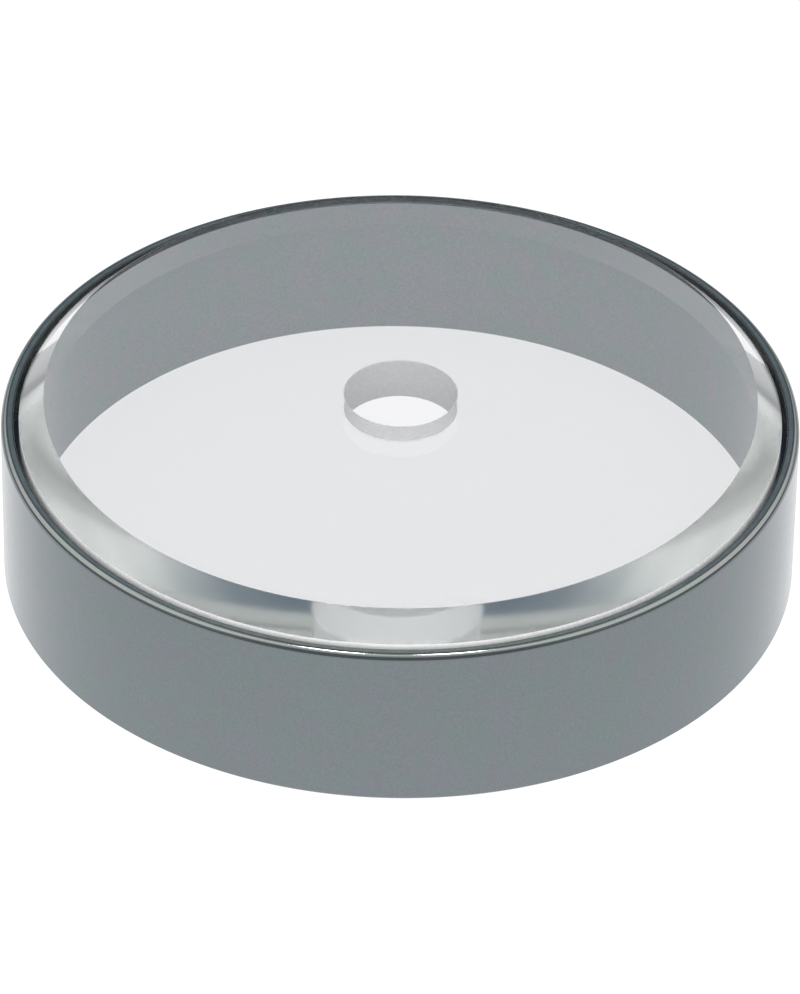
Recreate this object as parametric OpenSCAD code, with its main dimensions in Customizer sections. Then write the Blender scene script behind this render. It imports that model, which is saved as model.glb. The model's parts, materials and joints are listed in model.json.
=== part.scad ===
// Glass-topped work stand for a watchmaker's bench.
// A turned and anodised aluminium ring, hollow and open underneath, carries a
// thick clear plate in a shallow recess at its top. The plate stands proud of
// the rim, has a wide polished bevel and one hole in its centre, and lies loose
// on the ledge, so that it lifts straight out.
// Millimetres, +Z up. The ring stands on Z = 0 with its axis on Z.

/* [Ring] */
// Outer diameter of the ring
ring_d = 60; // [50:1:90]
// Height of the rim above the foot
ring_h = 13.2; // [9:0.1:20]
// Width of the flat rim round the recess
rim_w = 0.95; // [0.9:0.05:2]
// Radius of the rounded outer edge of the rim
rim_round = 0.5; // [0.1:0.05:0.6]
// Chamfer at the foot, outside and inside
foot_chamfer = 0.3; // [0.1:0.05:0.6]

/* [Recess] */
// Depth of the plate's recess below the rim
recess_depth = 1.35; // [0.8:0.05:1.4]
// Width of the ledge that the plate rests on
ledge_w = 1.25; // [1.2:0.05:3]
// Chamfer on the recess's mouth and on the ledge's inner edge
edge_break = 0.12; // [0.05:0.01:0.2]
// Gap between the plate's edge and the recess's wall
plate_gap = 0.4; // [0.1:0.05:0.5]

/* [Plate] */
// Thickness of the clear plate
plate_t = 3.3; // [3:0.1:6]
// Width of the 45 degree bevel round the plate's top
bevel_w = 1.9; // [0.5:0.1:2.4]
// Diameter of the centre hole
hole_d = 8.4; // [4.5:0.1:20]
// Chamfer on the hole's upper edge
hole_top_break = 0.1; // [0.05:0.01:0.3]
// Chamfer on the plate's lower edges, at the hole and at the rim
plate_low_break = 0.25; // [0.05:0.01:0.3]

/* [Hidden] */
$fn = 180;
ring_r = ring_d / 2;
recess_r = ring_r - rim_w;
bore_r = recess_r - ledge_w;
ledge_z = ring_h - recess_depth;
plate_r = recess_r - plate_gap;
bevel_r = plate_r - bevel_w;
hole_r = hole_d / 2;
anodised_grey = [0.42, 0.46, 0.47];
clear_glass = [0.86, 0.92, 0.92, 0.45];

// What a radius takes off a square corner whose tip is at the origin and
// whose sides run to -X and -Y
module corner_round(r) {
    translate([-r, -r])
        difference() {
            square(2 * r);
            circle(r);
        }
}

// Half section of the ring in radius and height, still with a sharp outer rim
module ring_section() {
    polygon([
        [bore_r + foot_chamfer, 0],
        [ring_r - foot_chamfer, 0],
        [ring_r, foot_chamfer],
        [ring_r, ring_h],
        [recess_r + edge_break, ring_h],
        [recess_r, ring_h - edge_break],
        [recess_r, ledge_z],
        [bore_r + edge_break, ledge_z],
        [bore_r, ledge_z - edge_break],
        [bore_r, foot_chamfer]
    ]);
}

// Half section of the plate in radius and height above its own underside
module plate_section() {
    polygon([
        [hole_r + plate_low_break, 0],
        [plate_r - plate_low_break, 0],
        [plate_r, plate_low_break],
        [plate_r, plate_t - bevel_w],
        [bevel_r, plate_t],
        [hole_r + hole_top_break, plate_t],
        [hole_r, plate_t - hole_top_break],
        [hole_r, plate_low_break]
    ]);
}

// The turned ring: foot, straight wall, ledge, recess and rounded rim
module base_ring() {
    color(anodised_grey)
        rotate_extrude()
            difference() {
                ring_section();
                translate([ring_r, ring_h])
                    corner_round(rim_round);
            }
}

// The clear plate, resting on the ledge
module glass_plate() {
    color(clear_glass)
        translate([0, 0, ledge_z])
            rotate_extrude()
                plate_section();
}

base_ring();
glass_plate();
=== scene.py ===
import json
import math

import bpy
from mathutils import Matrix, Vector


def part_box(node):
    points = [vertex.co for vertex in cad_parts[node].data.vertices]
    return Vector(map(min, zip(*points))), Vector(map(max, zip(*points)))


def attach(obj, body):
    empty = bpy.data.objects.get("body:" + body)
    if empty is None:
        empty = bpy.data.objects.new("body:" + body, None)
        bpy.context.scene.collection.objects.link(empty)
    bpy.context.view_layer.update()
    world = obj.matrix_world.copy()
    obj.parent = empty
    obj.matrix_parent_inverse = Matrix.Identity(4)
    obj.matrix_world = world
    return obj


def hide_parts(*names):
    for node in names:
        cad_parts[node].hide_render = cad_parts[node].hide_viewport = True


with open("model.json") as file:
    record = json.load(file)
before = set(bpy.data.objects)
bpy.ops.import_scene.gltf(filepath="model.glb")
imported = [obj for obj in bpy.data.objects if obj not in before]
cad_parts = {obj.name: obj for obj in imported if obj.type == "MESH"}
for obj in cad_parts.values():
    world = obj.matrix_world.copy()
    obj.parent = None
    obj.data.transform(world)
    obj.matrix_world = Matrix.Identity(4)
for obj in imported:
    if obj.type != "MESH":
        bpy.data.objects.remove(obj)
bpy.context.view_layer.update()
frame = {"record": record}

# ---------------------------------------------------------------- sizes, in metres
MM = 0.001
ring_lo, ring_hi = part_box("base_ring")
plate_lo, plate_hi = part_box("glass_plate")
MOUNTS = {mount["name"]: mount for mount in frame["record"]["mounts"]}

ring_r = ring_hi.x
ring_h = ring_hi.z
bore_r = MOUNTS["ring_bore"]["dims"]["r_mm"] * MM
rim_w = 0.95 * MM
recess_r = ring_r - rim_w
ledge_z = plate_lo.z
plate_r = plate_hi.x
plate_top = plate_hi.z
hole_r = MOUNTS["centre_hole"]["dims"]["r_mm"] * MM
bevel_w = 1.9 * MM
AIR_FILM = 0.02 * MM    # between the ledge and the underside of the plate

SEGMENTS = 360          # steps round the axis
ARC_STEPS = 6           # steps in each rounded corner

scene = bpy.context.scene


# ---------------------------------------------------------------- lathe
def rounded(corners):
    """Points, outward normals and region of a closed section, counter-clockwise in (radius, height).
    A corner is (radius, height, rounding, regions of the rounding's first and second half,
    region of the line that follows)."""
    points = []
    for i, (r, z, rounding, first, second, line) in enumerate(corners):
        regions = [first] * (ARC_STEPS // 2) + [second] * (ARC_STEPS - ARC_STEPS // 2) + [line]
        corner = Vector((r, z))
        before = Vector(corners[i - 1][:2])
        after = Vector(corners[(i + 1) % len(corners)][:2])
        way_in = (corner - before).normalized()
        way_out = (after - corner).normalized()
        turn = way_in.angle_signed(way_out)
        normal_in = Vector((way_in.y, -way_in.x))
        normal_out = Vector((way_out.y, -way_out.x))
        side = -1 if turn > 0 else 1        # angle_signed is clockwise-positive
        reach = rounding * math.tan(abs(turn) / 2)
        centre = corner - way_in * reach - normal_in * rounding * side
        for k in range(ARC_STEPS + 1):
            t = k / ARC_STEPS
            a = turn * t
            n = Vector((normal_in.x * math.cos(a) + normal_in.y * math.sin(a),
                        -normal_in.x * math.sin(a) + normal_in.y * math.cos(a)))
            points.append((centre + n * rounding * side, n, regions[k]))
    return points


def lathe(name, corners):
    """A solid of revolution with exact normals and a face attribute that holds each face's region."""
    section = rounded(corners)
    count = len(section)
    verts = []
    normals = []
    for i in range(SEGMENTS):
        a = 2 * math.pi * i / SEGMENTS
        c, s = math.cos(a), math.sin(a)
        for point, normal, _ in section:
            verts.append((point.x * c, point.x * s, point.y))
            normals.append((normal.x * c, normal.x * s, normal.y))
    faces = []
    regions = []
    for i in range(SEGMENTS):
        here, there = i * count, (i + 1) % SEGMENTS * count
        for j in range(count):
            k = (j + 1) % count
            faces.append((here + j, there + j, there + k, here + k))
            regions.append(section[j][2])
    mesh = bpy.data.meshes.new(name)
    mesh.from_pydata(verts, [], faces)
    mesh.attributes.new("region", "FLOAT", "FACE").data.foreach_set("value", regions)
    mesh.polygons.foreach_set("use_smooth", [True] * len(faces))
    mesh.normals_split_custom_set_from_vertices(normals)
    mesh.update()
    piece = bpy.data.objects.new(name, mesh)
    scene.collection.objects.link(piece)
    return piece


POLISHED, BEVEL, GROUND, HOLE = 0.0, 1.0, 2.0, 3.0
LAND, WALL, INSIDE, LEDGE, RIM = 0.0, 1.0, 2.0, 3.0, 4.0


def make_ring():
    rim_round, foot, edge, fine = 0.5 * MM, 0.3 * MM, 0.12 * MM, 0.05 * MM
    # the ledge colour, on the ledge and on the rounded top edges of the bore and the recess, is painted
    # shade
    return lathe("anodised_ring", [
        (bore_r, ledge_z, edge, LEDGE, LEDGE, INSIDE),
        (bore_r, 0, edge, INSIDE, INSIDE, LAND),
        (ring_r - foot, 0, fine, WALL, WALL, WALL),
        (ring_r, foot, fine, WALL, WALL, WALL),
        (ring_r, ring_h, rim_round, WALL, RIM, LAND),
        (recess_r, ring_h, edge, LEDGE, LEDGE, INSIDE),
        (recess_r, ledge_z, fine, LEDGE, LEDGE, LEDGE),
    ])


def make_plate():
    edge, low, hole_edge = 0.06 * MM, 0.2 * MM, 0.1 * MM
    underside = ledge_z + AIR_FILM
    return lathe("bevelled_plate", [
        (hole_r, plate_top, hole_edge, HOLE, HOLE, HOLE),
        (hole_r, underside, hole_edge, HOLE, HOLE, POLISHED),
        (plate_r, underside, low, POLISHED, POLISHED, GROUND),
        (plate_r, plate_top - bevel_w, edge, GROUND, GROUND, BEVEL),
        (plate_r - bevel_w, plate_top, edge, POLISHED, POLISHED, POLISHED),
    ])


# ---------------------------------------------------------------- node helpers
def new_material(name):
    mat = bpy.data.materials.new(name)
    mat.use_nodes = True
    return mat, mat.node_tree, mat.node_tree.nodes["Principled BSDF"]


def join(tree, value, socket):
    """Links an output to a socket, or sets the socket to a plain value."""
    if isinstance(value, bpy.types.NodeSocket):
        tree.links.new(value, socket)
    else:
        socket.default_value = value


def add(tree, kind, inputs, output=0, **settings):
    """A new node, its settings and inputs; gives back one of its outputs."""
    node = tree.nodes.new("ShaderNode" + kind)
    for key, value in settings.items():
        setattr(node, key, value)
    for key, value in inputs.items():
        join(tree, value, node.inputs[key])
    return node.outputs[output]


def ramp(tree, factor, stops, interpolation="LINEAR"):
    """A number or colour for each place along the factor, from stops of (place, value)."""
    chosen = add(tree, "ValToRGB", {"Fac": factor})
    scale = chosen.node.color_ramp
    scale.interpolation = interpolation
    while len(scale.elements) < len(stops):
        scale.elements.new(1.0)
    for element, (place, value) in zip(scale.elements, stops):
        element.position = place
        element.color = (*value, 1) if isinstance(value, tuple) else (value, value, value, 1)
    return chosen


def by_region(tree, values):
    """One number or colour for each region of the surface, in the order of the regions."""
    count = len(values)
    region = add(tree, "Attribute", {}, "Fac", attribute_name="region")
    place = add(tree, "Math", {0: region, 1: 1 / count, 2: 0.5 / count}, operation="MULTIPLY_ADD")
    return ramp(tree, place, [(i / count, value) for i, value in enumerate(values)], "CONSTANT")


def noise(tree, size, detail, roughness=0.5):
    """Noise with spots of a given size in metres."""
    place = add(tree, "TexCoord", {}, "Object")
    inputs = {"Vector": place, "Scale": 1 / size, "Detail": detail, "Roughness": roughness}
    return add(tree, "TexNoise", inputs)


def spread(tree, value, low, high, to_low, to_high):
    limits = {"Value": value, "From Min": low, "From Max": high, "To Min": to_low, "To Max": to_high}
    return add(tree, "MapRange", limits)


def mixed(tree, factor, first, second, blend="MIX"):
    inputs = {0: factor, 6: first, 7: second}
    return add(tree, "Mix", inputs, 2, data_type="RGBA", blend_type=blend)


# ---------------------------------------------------------------- materials
# each in the order land, wall, inside, ledge, rim
# one anodised grey painted lighter or darker on each surface: painted light and shade, the dark ledge row
# being painted shade under the plate
RING_PAINTED_SHADES = (
    (0.600, 0.655, 0.600),
    (0.190, 0.215, 0.222),
    (0.348, 0.371, 0.373),
    (0.110, 0.125, 0.130),
    (0.580, 0.620, 0.590),
)
RING_ROUGH = (0.32, 0.18, 0.22, 0.25, 0.07)
RING_EDGE_TINT = (1.0, 1.0, 1.0, 1.0, 0.4)     # how bright each is at a glancing view
GREEN_CAST, VIOLET_CAST = (0.965, 1.02, 0.985, 1), (1.035, 0.985, 1.03, 1)


def anodised():
    """Satin anodised aluminium with fine grain and a faint colour cast in patches; its one grey is painted
    lighter or darker surface by surface, as painted light and shade.
    """
    mat, tree, bsdf = new_material("anodised_grey")
    patch = spread(tree, noise(tree, 2.2 * MM, 4, 0.65), 0.38, 0.62, 0, 1)
    cast = mixed(tree, patch, GREEN_CAST, VIOLET_CAST)
    grain = noise(tree, 0.16 * MM, 2, 0.7)
    shade = spread(tree, grain, 0.3, 0.7, 0.93, 1.07)
    colour = mixed(tree, 1.0, by_region(tree, RING_PAINTED_SHADES), cast, "MULTIPLY")
    join(tree, mixed(tree, 1.0, colour, shade, "MULTIPLY"), bsdf.inputs["Base Color"])
    bsdf.inputs["Metallic"].default_value = 1.0
    blotch = spread(tree, noise(tree, 0.5 * MM, 3), 0.3, 0.7, 0.88, 1.12)
    rough = add(tree, "Math", {0: by_region(tree, RING_ROUGH), 1: blotch}, operation="MULTIPLY")
    join(tree, rough, bsdf.inputs["Roughness"])
    join(tree, by_region(tree, RING_EDGE_TINT), bsdf.inputs["Specular Tint"])
    pits = add(tree, "Bump", {"Height": grain, "Strength": 0.12, "Distance": 0.01 * MM})
    join(tree, pits, bsdf.inputs["Normal"])
    return mat


GLASS_IOR = 1.59
BEVEL_ROUGH, GRAZING_ROUGH = 0.10, 0.02
GROUND_ROUGH = 0.8
HOLE_ROUGH = 0.9
GROUND_CLEAR = 0.0      # the part of the light that goes through the ground edge
HOLE_CLEAR = 0.74


def clear():
    """Clear plate: polished faces, a lapped bevel, a ground edge and a ground hole."""
    mat, tree, bsdf = new_material("clear_glass")
    bsdf.inputs["IOR"].default_value = GLASS_IOR
    grit = noise(tree, 0.12 * MM, 3, 0.7)
    speck = spread(tree, noise(tree, 0.3 * MM, 3, 0.6), 0.35, 0.65, 0.88, 1.0)
    white = mixed(tree, by_region(tree, (0.0, 0.0, 1.0, 1.0)), (1, 1, 1, 1), speck)
    join(tree, white, bsdf.inputs["Base Color"])
    facing = add(tree, "LayerWeight", {"Blend": 0.5}, "Facing")
    lapped = spread(tree, facing, 0.60, 0.80, BEVEL_ROUGH, GRAZING_ROUGH)
    ground = by_region(tree, (0.0, 0.0, GROUND_ROUGH, HOLE_ROUGH))
    join(tree, mixed(tree, by_region(tree, (0.0, 1.0, 0.0, 0.0)), ground, lapped), bsdf.inputs["Roughness"])
    join(tree, by_region(tree, (1.0, 1.0, GROUND_CLEAR, HOLE_CLEAR)), bsdf.inputs["Transmission Weight"])
    pits = add(tree, "Bump", {"Height": grit, "Strength": by_region(tree, (0.0, 0.0, 0.5, 0.3)),
                              "Distance": 0.02 * MM})
    join(tree, pits, bsdf.inputs["Normal"])
    body = add(tree, "VolumeAbsorption", {"Color": (0.90, 1.0, 0.96, 1), "Density": 8.0})
    join(tree, body, tree.nodes["Material Output"].inputs["Volume"])
    return mat


ring = make_ring()
ring.data.materials.append(anodised())
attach(ring, "base")
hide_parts("base_ring")

plate = make_plate()
plate.data.materials.append(clear())
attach(plate, "plate")
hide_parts("glass_plate")


# ---------------------------------------------------------------- stage
FLOOR_ALBEDO = 0.10
PAINTED_POOL_R = 2.4 * ring_r   # where the painted pool of light round the ring has faded
PAINTED_FLOOR_GLOW = ((bore_r / PAINTED_POOL_R, 0.86), (ring_r / PAINTED_POOL_R, 1.08), (1.0, 0.93))      # (place, strength): painted shade inside the ring, a painted pool of light round it
SKY = ((0.0, 0.22), (0.18, 0.30), (0.42, 0.62), (1.0, 0.70))                # (height, brightness)
PANEL_CORE, PANEL_R, PANEL_GLOW = 0.4, 1.2, 2.2     # metres, metres, brightness
LAMP_DISTANCE, LAMP_SIZE, LAMP_POWER = 0.8, 0.09, 0.32
FRONT = (0, -0.80, 0.60)                 # the way to the large lamp
CARDS = (                                # way, core and edge half-angles, colour
    ((0, 0.84, 0.54), 11, 27, (0.07, 0.10, 0.14)),
    (FRONT, 25, 50, (0.34, 0.34, 0.35)),
    ((0, 0.45, 0.89), 6, 22, (0.15, 0.16, 0.17)),
)


def make_square(name, half):
    """A flat square about its own origin, with half its width given."""
    corners = [(-half, -half, 0), (half, -half, 0), (half, half, 0), (-half, half, 0)]
    mesh = bpy.data.meshes.new(name)
    mesh.from_pydata(corners, [], [(0, 1, 2, 3)])
    square = bpy.data.objects.new(name, mesh)
    scene.collection.objects.link(square)
    return square


def distance_out(tree):
    """How far each point is from the origin of its own object."""
    return add(tree, "VectorMath", {0: add(tree, "TexCoord", {}, "Object")}, "Value", operation="LENGTH")


def make_floor():
    """A lit white table that also glows: the ring keeps some of the room's light off the part inside it,
    and the glow adds painted shade there and a painted pool of light round the ring.
    """
    floor = make_square("floor", 30 * ring_r)
    mat, tree, bsdf = new_material("floor_white")
    bsdf.inputs["Base Color"].default_value = (FLOOR_ALBEDO, FLOOR_ALBEDO, FLOOR_ALBEDO * 1.01, 1)
    bsdf.inputs["Roughness"].default_value = 0.9
    bsdf.inputs["Specular IOR Level"].default_value = 0.2
    bsdf.inputs["Emission Color"].default_value = (0.985, 0.985, 1, 1)
    # the table's glow: painted shade inside the ring and a painted pool of light round it
    place = add(tree, "Math", {0: distance_out(tree), 1: PAINTED_POOL_R}, operation="DIVIDE")
    join(tree, ramp(tree, place, PAINTED_FLOOR_GLOW), bsdf.inputs["Emission Strength"])
    floor.data.materials.append(mat)


def make_world():
    world = bpy.data.worlds.new("studio")
    scene.world = world
    world.use_nodes = True
    tree = world.node_tree
    way = add(tree, "TexCoord", {}, "Generated")
    sky = ramp(tree, add(tree, "SeparateXYZ", {0: way}, "Z"), SKY)
    for toward, core, edge, colour in CARDS:
        near = add(tree, "VectorMath", {0: way, 1: toward}, "Value", operation="DOT_PRODUCT")
        outer, inner = math.cos(math.radians(edge)), math.cos(math.radians(core))
        limits = {"Value": near, "From Min": outer, "From Max": inner}
        mask = add(tree, "MapRange", limits, interpolation_type="SMOOTHSTEP")
        sky = mixed(tree, mask, sky, (*colour, 1))
    join(tree, sky, tree.nodes["Background"].inputs["Color"])


def facing_object(toward, distance):
    """The place of a lamp that shines on the object from a given way and distance."""
    way = Vector(toward).normalized()
    return Matrix.Translation(way * distance) @ way.to_track_quat("Z", "Y").to_matrix().to_4x4()


def make_panel():
    """A large lamp in front, which fades out towards its edge and isn't seen in reflections."""
    panel = make_square("panel", PANEL_R)
    panel.matrix_world = facing_object(FRONT, LAMP_DISTANCE)
    mat, tree, bsdf = new_material("panel_light")
    bsdf.inputs["Base Color"].default_value = (0, 0, 0, 1)
    bsdf.inputs["Specular IOR Level"].default_value = 0.0
    bsdf.inputs["Emission Color"].default_value = (1, 1, 1, 1)
    bsdf.inputs["Emission Strength"].default_value = PANEL_GLOW
    join(tree, spread(tree, distance_out(tree), PANEL_CORE, PANEL_R, 1.0, 0.0), bsdf.inputs["Alpha"])
    panel.data.materials.append(mat)
    panel.visible_camera = False
    panel.visible_glossy = False
    panel.visible_shadow = False


def make_lamp(name, toward, distance, size, power):
    data = bpy.data.lights.new(name, "AREA")
    data.shape = "DISK"
    data.size = size
    data.energy = power
    lamp = bpy.data.objects.new(name, data)
    lamp.matrix_world = facing_object(toward, distance)
    scene.collection.objects.link(lamp)
    return lamp


def make_camera():
    elev = math.radians(36.149)
    dist = 18.015 * ring_r
    aim = Vector((0.0021 * ring_r, 0, 0.1839 * ring_r))
    roll = math.radians(0.877)
    data = bpy.data.cameras.new("camera")
    data.sensor_width = 36
    data.lens = 258.3
    data.clip_start = 0.01
    camera = bpy.data.objects.new("camera", data)
    back = Vector((0, -math.cos(elev), math.sin(elev)))
    turn = back.to_track_quat("Z", "Y").to_matrix().to_4x4()
    camera.matrix_world = Matrix.Translation(aim + back * dist) @ turn @ Matrix.Rotation(roll, 4, "Z")
    scene.collection.objects.link(camera)
    scene.camera = camera


make_floor()
make_world()
for lamp_name, lamp_x in (("lamp_left", -0.112), ("lamp_right", 0.093)):
    small = make_lamp(lamp_name, (lamp_x, 0.145, 0.983), LAMP_DISTANCE, LAMP_SIZE, LAMP_POWER)
    small.visible_diffuse = False
    small.visible_transmission = False
make_panel()
make_camera()

scene.view_settings.view_transform = "Standard"
scene.cycles.max_bounces = 64
scene.cycles.transmission_bounces = 64
scene.cycles.glossy_bounces = 64
scene.cycles.diffuse_bounces = 8
